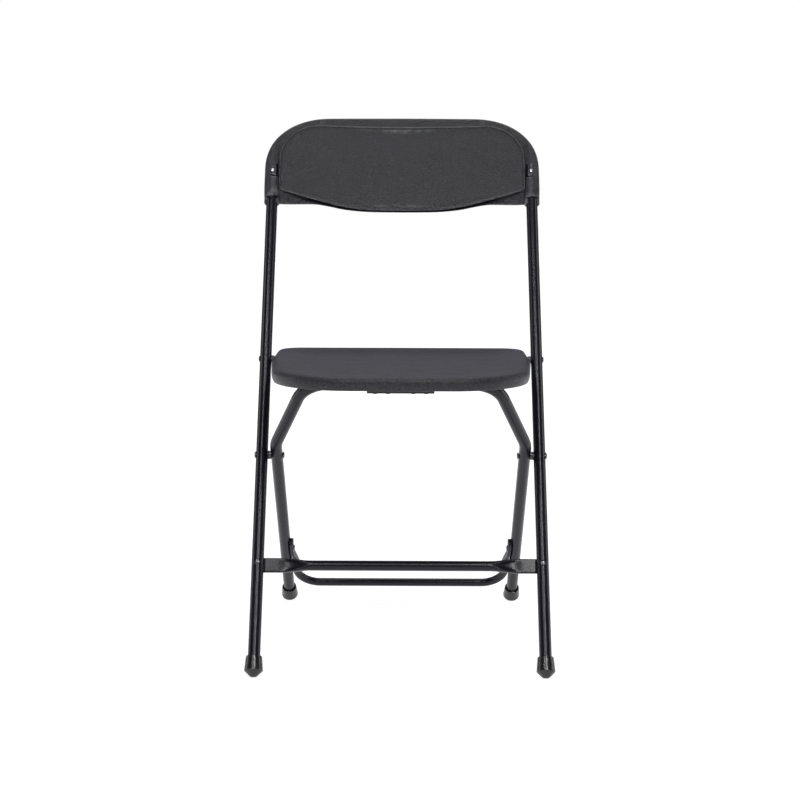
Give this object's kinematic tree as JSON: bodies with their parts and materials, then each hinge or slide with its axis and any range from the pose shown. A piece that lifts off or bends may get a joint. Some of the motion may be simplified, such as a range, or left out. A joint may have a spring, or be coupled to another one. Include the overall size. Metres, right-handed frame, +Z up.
{
  "type": "folding chair",
  "caption": "Folding chair with a tubular steel frame, a moulded plastic seat and a moulded plastic backrest on two leaning uprights.",
  "frame": {"origin": "on the floor, under the middle of the chair's overall width and depth", "axes": "+Z up, +X to the right as seen from the front, -Y towards the front of the chair"},
  "size_m": [0.4462, 0.5579, 0.802],
  "materials": {
    "frame_paint": "semi-gloss black powder coat",
    "bracket_paint": "semi-gloss black powder coat",
    "seat_plastic": "charcoal polypropylene with a fine moulded grain",
    "back_plastic": "charcoal polypropylene with a fine moulded grain",
    "foot_rubber": "matt black moulded cap",
    "spacer_nylon": "black nylon",
    "rivet_steel": "blackened steel, worn bright on the heads",
    "bright_steel": "zinc-plated steel"
  },
  "bodies": {
    "front_frame": {"left_upright": "frame_paint", "right_upright": "frame_paint", "backrest_panel": "back_plastic", "backrest_rivets": "bright_steel", "front_brace": "frame_paint", "front_brace_rivets": "rivet_steel", "front_left_foot": "foot_rubber", "front_right_foot": "foot_rubber", "seat_pivot_rivets": "rivet_steel", "seat_pivot_spacers": "spacer_nylon", "leg_pivot_rivets": "rivet_steel", "leg_pivot_spacers": "spacer_nylon"},
    "rear_frame": {"rear_leg_frame": "frame_paint", "leg_pivot_washers": "rivet_steel", "rear_brace": "frame_paint", "rear_brace_rivets": "rivet_steel", "rear_left_foot": "foot_rubber", "rear_right_foot": "foot_rubber"},
    "seat": {"seat_shell": "seat_plastic", "seat_pivot_bushings": "spacer_nylon", "crossbar_bracket": "bracket_paint", "bracket_screws": "rivet_steel"}
  },
  "joints": [
    {"name": "leg_fold", "type": "hinge", "parent": "front_frame", "child": "rear_frame", "pos_m": [0, -0.05509, 0.29252], "axis": [-1, 0, 0], "range_deg": [0, 63.5]},
    {"name": "seat_fold", "type": "hinge", "parent": "front_frame", "child": "seat", "pos_m": [0, 0.0251, 0.42866], "axis": [-1, 0, 0], "range_deg": [0, 108]}
  ],
  "couplings": [
    {"joint": "seat_fold", "follows": "leg_fold", "ratio": 1.7}
  ]
}
